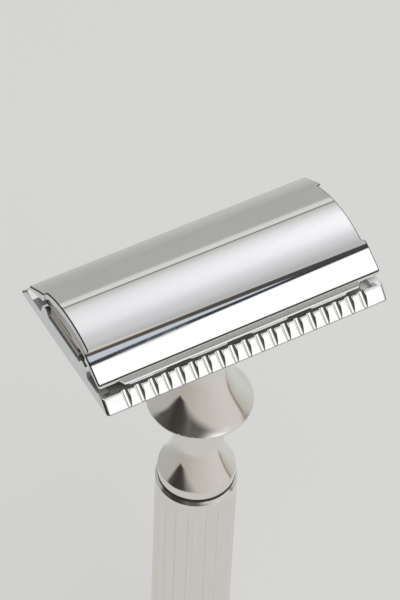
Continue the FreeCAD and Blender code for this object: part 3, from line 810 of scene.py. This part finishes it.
enamel, glaze = finish_of("index_paint")
spot = glaze.add("ShaderNodeTexCoord", output="Object")
mottle = glaze.add("ShaderNodeTexNoise", inputs={"Vector": spot, "Scale": 2500.0, "Detail": 3.0})
coat(
    glaze,
    {
        "Base Color": glaze.blend(mottle, (0.42, 0.012, 0.01, 1), (0.56, 0.025, 0.018, 1)),
        "Roughness": 0.22 + mottle * 0.15,
        "Normal": mottle.bump(0.4, 0.00001),
    },
)
finish("index_dot", enamel)


# ---------------------------------------------------------------- guard
# The chromed plate under the blade: a scalloped bar along each side stretches the skin, and a
# wall at each end holds the bed. Slots in the floor let the lather through. Two screws hold
# it to the flanged hub, which slides on the spindle's flats against a spring.
guard_length, guard_wall, guard_base, guard_floor, guard_corner = 43.54, 1.45, 90.833, 91.833, 0.4
bar_crest, bar_lean, bar_foot, bar_land, bar_run, bar_top = 10.997, 1.55, 0.15, 0.35, 0.75, 92.683
guard_half = bar_crest + bar_lean
lug_inner, lug_crest, lug_outer, lug_top, recess_floor = 4.4, 5.4, 6.7, 94.833, 93.733
groove_count, groove_pitch, groove_radius, groove_depth, groove_tilt = 19, 2.04, 0.62, 0.46, 10.7
crest_round = 0.16
slot_count, slot_pitch, slot_length, slot_width, slot_gap = 4, 9.4, 6.6, 1.9, 0.25
hub_bore, screw_place, screw_bore, screw_cover, well_open = 4.6, 5.85, 0.7, 0.3, 97.0


def end_view(bm, half, x):
    """Closes half of an outline, (y, z) from front to middle, with its mirror image, as a face at x."""
    outline = [(x, y, z) for y, z in half] + [(x, -y, z) for y, z in reversed(half)]
    bm.faces.new([bm.verts.new(p) for p in outline])


def push(bm, faces, vector):
    """Extrudes faces by a vector and returns the far ones."""
    edges = {e for f in faces for e in f.edges}
    pushed = bmesh.ops.extrude_face_region(bm, geom=[*faces, *edges])["geom"]
    bmesh.ops.translate(bm, vec=vector, verts=[g for g in pushed if isinstance(g, bmesh.types.BMVert)])
    return [g for g in pushed if isinstance(g, bmesh.types.BMFace)]


bm = bmesh.new()
wall_half = [
    (guard_half - bar_foot, guard_base),
    (guard_half, guard_base + bar_foot),
    (bar_crest, bar_top),
    (lug_outer, bar_top),
    (lug_crest + 0.7, lug_top - 0.45),
    (lug_crest, lug_top),
    ((lug_inner + lug_crest) / 2, lug_top - 0.25),
    (lug_inner, recess_floor),
]
end_view(bm, wall_half, -guard_length / 2)
push(bm, bm.faces[:], (guard_length, 0, 0))
corners = [
    e
    for e in bm.edges
    if all(abs(v.co.x) > guard_length / 2 - 1e-4 and abs(v.co.y) > bar_crest - 1e-4 for v in e.verts)
]
corners = [e for e in corners if abs(e.verts[0].co.z - e.verts[1].co.z) > 0.1]
round_off(bm, corners, guard_corner, 6)
crests = [
    e
    for e in bm.edges
    if all(v.co.z > bar_top - 1e-4 and 0 < bar_crest + 1e-4 - abs(v.co.y) < 0.8 for v in e.verts)
    and abs(e.verts[0].co.z - e.verts[1].co.z) < 1e-4
]
round_off(bm, crests, crest_round, 4)
bmesh.ops.recalc_face_normals(bm, faces=bm.faces)
well = bmesh.new()
inside = guard_length / 2 - guard_wall
well_half = [(bar_crest - bar_land, well_open), (bar_crest - bar_land, bar_top)]
well_half.append((bar_crest - bar_land - bar_run, guard_floor))
end_view(well, well_half, -inside)
push(well, well.faces[:], (2 * inside, 0, 0))
bmesh.ops.recalc_face_normals(well, faces=well.faces)
cut(bm, well)

mill = bmesh.new()
slope = math.atan2(bar_top - guard_base - bar_foot, bar_lean) - math.radians(groove_tilt)
for side in (-1, 1):
    along = Vector((0, -side * math.cos(slope), math.sin(slope)))
    outward = Vector((0, side * math.sin(slope), math.cos(slope)))
    middle = Vector((0, side * bar_crest, bar_top)) + outward * (groove_radius - groove_depth)
    for i in range(groove_count):
        centre = middle + Vector(((i - (groove_count - 1) / 2) * groove_pitch, 0, 0))
        bmesh.ops.create_cone(
            mill,
            cap_ends=True,
            segments=40,
            radius1=groove_radius,
            radius2=groove_radius,
            depth=guard_half,
            matrix=Matrix.Translation(centre) @ along.to_track_quat("Z", "Y").to_matrix().to_4x4(),
        )
slot_y = bar_crest - bar_land - bar_run - slot_gap - slot_width / 2
for side in (-1, 1):
    for i in range(slot_count):
        x = (i - (slot_count - 1) / 2) * slot_pitch
        ends = bmesh.ops.create_circle(
            mill,
            cap_ends=True,
            segments=32,
            radius=slot_width / 2,
            matrix=Matrix.Translation((x, side * slot_y, guard_base - 1)),
        )["verts"]
        half = slot_length / 2 - slot_width / 2
        for v in ends:
            v.co.x += half if v.co.x > x + 1e-6 else -half if v.co.x < x - 1e-6 else 0
        push(mill, ends[0].link_faces[:], (0, 0, 3))
bores_low, bores_high = 90.0, 93.0
for x, radius, bore_top in (
    (0, hub_bore, bores_high),
    (-screw_place, screw_bore, guard_floor - screw_cover),
    (screw_place, screw_bore, guard_floor - screw_cover),
):
    bmesh.ops.create_cone(
        mill,
        cap_ends=True,
        segments=48,
        radius1=radius,
        radius2=radius,
        depth=bore_top - bores_low,
        matrix=Matrix.Translation((x, 0, (bores_low + bore_top) / 2)),
    )
bmesh.ops.recalc_face_normals(mill, faces=mill.faces)
cut(bm, mill)
soften(bm, 0.03, 24)


def guard_painted_edge_shade(facing, place):
    """Where painted shade darkens the guard: the upright edges at the ends, and the lower edge of each bar.
    """
    sideways, reach = facing.out("X").maths("ABSOLUTE"), place.out("X").maths("ABSOLUTE")
    low_edge = place.out("Z").step(0.09109, 0.09105) * place.out("Y").maths("ABSOLUTE").step(0.0122, 0.01224)
    upright = sideways.step(0.55, 0.65).maths("MAXIMUM", facing.out("X").step(0.35, 0.5))
    upright = upright * sideways.step(0.985, 0.95) * reach.step(0.0210, 0.0212)
    return (upright * facing.out("Z").step(0.1, 0.2)).maths("MAXIMUM", low_edge * 0.7)


def guard_well_painted_light(place):
    """The floor and inner sides of the well under the blade, the floors of the end recesses and the inner
    faces of the end walls, which are dull. Their colour is painted: dark grey as painted shade, paler at the
    right end and towards the rear as a painted reflection.
    """
    sideways, frontways = place.out("X").maths("ABSOLUTE"), place.out("Y").maths("ABSOLUTE")
    height = place.out("Z")
    well = height.step(0.09272, 0.0927) * frontways.step(0.0101, 0.01006)
    well = well * place.out("Y").step(0.009, 0.0089)
    recess = height.step(0.09376, 0.09374) * height.step(0.0937, 0.09372)
    covered = well.maths("MAXIMUM", recess * frontways.step(0.0045, 0.0044))
    covered = covered * sideways.step(0.02172, 0.02168)
    end_face = sideways.step(0.0202, 0.02024) * height.step(0.09267, 0.09264)
    end_face = end_face * frontways.step(0.0107, 0.01068) * sideways.step(0.0206, 0.02056)
    # Painted reflection: paler at the right end and towards the rear; elsewhere the dark grey is painted
    # shade.
    painted_reflection = place.out("X").step(0.0190, 0.0193) * 0.8
    painted_reflection = painted_reflection.maths("MAXIMUM", place.out("Y").step(0.006, 0.0062) * 0.35)
    painted_well_tone = place.blend(painted_reflection, (0.2, 0.205, 0.195, 1), (0.8, 0.8, 0.8, 1))
    return covered.maths("MAXIMUM", end_face), painted_well_tone


guard_chrome = chrome_of("guard_chrome", guard_painted_edge_shade, guard_well_painted_light)
place(bm, "scalloped_guard", "guard", guard_chrome, "polished_chrome", "guard_plate")
finish("guard_hub", chrome)


# ---------------------------------------------------------------- guard spring
# The coil of square steel wire inside the hub, which pushes the guard down on to the collar. It
# stands on the hub's floor, and is drawn shorter at both ends of the guard's travel, though a real
# one would lengthen as the guard sinks.
wire_side, spring_turns, steps_per_turn = 0.44, 4, 36
spring_low, spring_high = ([1000 * c for c in corner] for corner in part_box("guard_spring"))
spring_radius, press = 2.75, 0.45

bm = bmesh.new()
half = wire_side / 2
draw(
    bm,
    [
        (spring_radius + across_wire * half, 0, spring_low[2] + half + along_wire * half)
        for across_wire, along_wire in ((-1, -1), (1, -1), (1, 1), (-1, 1))
    ],
)
bm.faces.new(bm.verts[:])
spring_length = spring_high[2] - spring_low[2]
bmesh.ops.spin(
    bm,
    geom=bm.faces[:],
    cent=(0, 0, 0),
    axis=(0, 0, 1),
    dvec=(0, 0, (spring_length - wire_side) / (spring_turns * steps_per_turn)),
    angle=2 * math.pi * spring_turns,
    steps=spring_turns * steps_per_turn,
)
bmesh.ops.recalc_face_normals(bm, faces=bm.faces)
spring = place(bm, "coiled_spring", "guard", steel, "satin_steel", "guard_spring")
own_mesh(spring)


# ---------------------------------------------------------------- bed
# The crowned block of nickel-plated brass that the blade lies on, screwed down on the spindle.
# The tongue at each end fills the recess in the guard's wall, and its end is left brushed.
bed_metal, nickel = finish_of("brushed_nickel")
spot = nickel.add("ShaderNodeTexCoord", output="Object")
strokes = nickel.add("ShaderNodeMapping", inputs={"Vector": spot, "Scale": (4200.0, 90.0, 4200.0)})
brushed = nickel.add("ShaderNodeTexNoise", inputs={"Vector": strokes, "Scale": 1.0, "Detail": 4.0})
stain = nickel.add("ShaderNodeTexNoise", inputs={"Vector": spot, "Scale": 300.0, "Detail": 3.0})
coat(
    nickel,
    {
        "Base Color": nickel.blend(
            brushed.step(0.3, 0.7) * 0.8 + stain * 0.2, (0.33, 0.305, 0.285, 1), (0.66, 0.63, 0.60, 1)
        ),
        "Metallic": 1.0,
        "Roughness": 0.26 + brushed * 0.16,
        "Normal": brushed.bump(0.7, 0.00001),
    },
)
tongue_proud, tongue_drop, tongue_root = 0.23, 0.14, 20.5
bm = bmesh.new()
bm.from_mesh(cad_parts["blade_bed"].data)
bmesh.ops.scale(bm, vec=(1000, 1000, 1000), verts=bm.verts)
bmesh.ops.remove_doubles(bm, verts=bm.verts, dist=1e-3)
bmesh.ops.dissolve_limit(bm, angle_limit=math.radians(0.4), verts=bm.verts, edges=bm.edges)
for v in bm.verts:
    if abs(v.co.x) > tongue_root:
        v.co.x += math.copysign(tongue_proud, v.co.x)
        if v.co.z < recess_floor + 0.6:
            v.co.z -= tongue_drop
place(bm, "crowned_bed", "handle", bed_metal, "brushed_nickel", "blade_bed")


# ---------------------------------------------------------------- blade
# The thin double-edged blade of hardened stainless steel, bent over the bed by the cap. Both long
# edges are ground to a fine bevel, and it is slotted to pass the cap's posts and the bed's screw.
blade_half, blade_edge, blade_bend, blade_thick, bend_centre = 21.5, 10.547, 21.0, 0.1, 75.283
blade_tab_half, blade_shoulder, blade_tab = 6.587, 9.047, 2.9
blade_slot_end, blade_slot_half, blade_hole, post_hole, post_x = 17.0, 1.2, 2.9, 2.2, 14.2

bm = bmesh.new()
edge_end = blade_half - blade_tab
quarter = [
    (edge_end - 0.5, blade_edge),
    (edge_end, blade_edge - 0.5),
    (edge_end + 0.6, blade_shoulder),
    (edge_end + 0.6, blade_tab_half + 0.5),
    (edge_end + 1.1, blade_tab_half),
    (blade_half - 0.4, blade_tab_half),
    (blade_half, blade_tab_half - 0.4),
]
outline = quarter + [(x, -y) for x, y in reversed(quarter)]
outline += [(-x, -y) for x, y in quarter] + [(-x, y) for x, y in reversed(quarter)]
bm.faces.new([bm.verts.new((x, y, 80)) for x, y in outline])
push(bm, bm.faces[:], (0, 0, 5))
bmesh.ops.recalc_face_normals(bm, faces=bm.faces)
for x, radius in ((0, blade_hole), (-post_x, post_hole), (post_x, post_hole)):
    punched = bmesh.new()
    bmesh.ops.create_cone(
        punched,
        cap_ends=True,
        segments=48,
        radius1=radius,
        radius2=radius,
        depth=20,
        matrix=Matrix.Translation((x, 0, 82)),
    )
    cut(bm, punched)
punched = bmesh.new()
ends = bmesh.ops.create_circle(
    punched, cap_ends=True, segments=32, radius=blade_slot_half, matrix=Matrix.Translation((0, 0, 70))
)["verts"]
half = blade_slot_end - blade_slot_half
for v in ends:
    v.co.x += half if v.co.x > 1e-6 else -half if v.co.x < -1e-6 else 0
push(punched, ends[0].link_faces[:], (0, 0, 20))
bmesh.ops.recalc_face_normals(punched, faces=punched.faces)
cut(bm, punched)
bmesh.ops.delete(bm, geom=[f for f in bm.faces if f.normal.z < 0.5], context="FACES")
for i in range(-14, 15):
    bmesh.ops.bisect_plane(
        bm, geom=bm.verts[:] + bm.edges[:] + bm.faces[:], plane_co=(0, i * 0.74, 0), plane_no=(0, 1, 0)
    )
# The sheet so far is the blade's upper face, and its thickness goes inward, towards the bed.
for v in bm.verts:
    v.co.z = bend_centre + math.sqrt((blade_bend + blade_thick / 2) ** 2 - v.co.y**2)
bmesh.ops.solidify(bm, geom=bm.faces[:], thickness=blade_thick)
bmesh.ops.recalc_face_normals(bm, faces=bm.faces)
blade_steel, honed = finish_of("blade_steel")
spot = honed.add("ShaderNodeTexCoord", output="Object")
side = honed.add("ShaderNodeSeparateXYZ", inputs={0: spot}).out("Y").maths("ABSOLUTE")
ground = side.step(0.01012, 0.01016)
# Painted highlight: a near-white line along each cutting edge.
painted_edge_highlight = side.step(0.01043, 0.01046)
lines = honed.add("ShaderNodeMapping", inputs={"Vector": spot, "Scale": (9000.0, 120.0, 120.0)})
grind = honed.add("ShaderNodeTexNoise", inputs={"Vector": lines, "Scale": 1.0, "Detail": 3.0})
rolled = honed.add("ShaderNodeMapping", inputs={"Vector": spot, "Scale": (110.0, 3800.0, 110.0)})
roll = honed.add("ShaderNodeTexNoise", inputs={"Vector": rolled, "Scale": 1.0, "Detail": 4.0})
flat = honed.blend(roll, (0.53, 0.53, 0.52, 1), (0.60, 0.60, 0.59, 1))
flat = honed.blend(ground, flat, (0.60, 0.60, 0.59, 1))
coat(
    honed,
    {
        "Base Color": honed.blend(painted_edge_highlight, flat, (0.92, 0.92, 0.91, 1)),
        "Metallic": 1.0,
        "Roughness": 0.24 + roll * 0.06 - ground * 0.1 + grind * 0.03,
        "Normal": honed.blend(ground, roll, grind).bump(0.3, 0.000004),
    },
)
place(bm, "double_edged_blade", "blade", blade_steel, "blade_steel", "blade")


# ---------------------------------------------------------------- cap
# The cap is cast, ground and chromed: a shallow dome with a flat facet along each side and a
# finger notch in each end. Its two posts snap into the bed's clips, and it pulls straight off.
cap_half, notch, notch_half, notch_radius, corner_radius, end_rounding = 21.799, 0.56, 5.85, 0.25, 0.3, 0.2
dome_radius, dome_crest, facet_angle, crown, cap_edge, under_radius = 14.0, 98.233, 31.0, 75.0, 9.997, 21.09
socket_radius, socket_depth = 1.2, 1.9

bm = bmesh.new()
dome_centre = dome_crest - dome_radius
edge_low = bend_centre + math.sqrt(under_radius**2 - cap_edge**2)
end = cap_half - notch
dome_middle, under_middle = (-end, 0, dome_centre), (-end, 0, bend_centre)
dome_notch = math.asin(notch_half / dome_radius)
under_notch = math.asin(notch_half / under_radius)
under_flank = math.asin(cap_edge / under_radius) - under_notch
crown_start = math.radians(facet_angle - 1)
crown_y = (dome_radius - crown) * math.sin(crown_start)
crown_z = dome_centre + (dome_radius - crown) * math.cos(crown_start)
crown_end = math.asin((cap_edge - crown_y) / crown)
edge_top = crown_z + crown * math.cos(crown_end)
first = draw(bm, [(-end, cap_edge, edge_low)])
edge = draw(bm, [(-end, cap_edge, edge_top)], first)
edge = sweep(bm, edge, (-end, crown_y, crown_z), (1, 0, 0), crown_end - crown_start, 10)
top_right = sweep(bm, edge, dome_middle, (1, 0, 0), crown_start - dome_notch, 5)
top_left = sweep(bm, top_right, dome_middle, (1, 0, 0), 2 * dome_notch, 36)
edge = sweep(bm, top_left, dome_middle, (1, 0, 0), crown_start - dome_notch, 5)
edge = sweep(bm, edge, (-end, -crown_y, crown_z), (1, 0, 0), crown_end - crown_start, 10)
edge = draw(bm, [(-end, -cap_edge, edge_low)], edge)
under_left = sweep(bm, edge, under_middle, (1, 0, 0), -under_flank, 8)
under_right = sweep(bm, under_left, under_middle, (1, 0, 0), -2 * under_notch, 20)
edge = sweep(bm, under_right, under_middle, (1, 0, 0), -under_flank, 8)
bmesh.ops.pointmerge(bm, verts=[first, edge], merge_co=first.co)
bmesh.ops.contextual_create(bm, geom=bm.edges[:])
for pair in ((top_right, under_right), (top_left, under_left)):
    bmesh.ops.connect_verts(bm, verts=list(pair))
push(bm, bm.faces[:], (2 * end, 0, 0))
bmesh.ops.recalc_face_normals(bm, faces=bm.faces)
for side in (-1, 1):
    flanks = [
        f for f in bm.faces if f.normal.x * side > 0.99 and abs(f.calc_center_median().y) > notch_half
    ]
    for flank in flanks:
        push(bm, [flank], (side * notch, 0, 0))
bmesh.ops.recalc_face_normals(bm, faces=bm.faces)
seams = [e for e in bm.edges if abs(abs(e.verts[0].co.x) - end) < 1e-4 and e.calc_face_angle(1) < 1e-3]
bmesh.ops.dissolve_edges(bm, edges=seams, use_verts=True)


def rounded(bm, x, y, radius, segments):
    """Rounds the upright edges at x and y, each on both sides."""
    upright = [
        e
        for e in bm.edges
        if all(abs(abs(v.co.x) - x) < 1e-4 and abs(abs(v.co.y) - y) < 1e-4 for v in e.verts)
        and abs(e.verts[0].co.z - e.verts[1].co.z) > 0.1
    ]
    round_off(bm, upright, radius, segments)


rounded(bm, cap_half, cap_edge, corner_radius, 6)
rounded(bm, cap_half, notch_half, notch_radius, 3)
rounded(bm, end, notch_half, notch_radius, 3)
socket = bmesh.new()
for x in (-post_x, post_x):
    bmesh.ops.create_cone(
        socket,
        cap_ends=True,
        segments=40,
        radius1=socket_radius,
        radius2=socket_radius,
        depth=socket_depth,
        matrix=Matrix.Translation((x, 0, bend_centre + under_radius - 0.05)),
    )
cut(bm, socket)
rims = [
    e
    for e in bm.edges
    if e.is_manifold
    and min(f.normal.z for f in e.link_faces) < 0.2 < 0.5 < max(f.normal.z for f in e.link_faces)
    and min(abs(f.normal.z) for f in e.link_faces) < 0.2
]
round_off(bm, rims, end_rounding, 5)
soften(bm, 0.07, 32)


def cap_painted_edge_shade(facing, place):
    """Where painted shade darkens the cap: the edges of the top at its ends, and along the foot of each
    facet.
    """
    sideways, frontways = facing.out("X").maths("ABSOLUTE"), facing.out("Y").maths("ABSOLUTE")
    ends = sideways.step(0.06, 0.16) * sideways.step(0.985, 0.95)
    feet = frontways.step(0.6, 0.68) * frontways.step(0.99, 0.97)
    return ends.maths("MAXIMUM", feet) * facing.out("Z").step(0.08, 0.15)


cap_chrome = chrome_of("cap_chrome", cap_painted_edge_shade)
place(bm, "domed_cap", "cap", cap_chrome, "polished_chrome", "cap_shell")
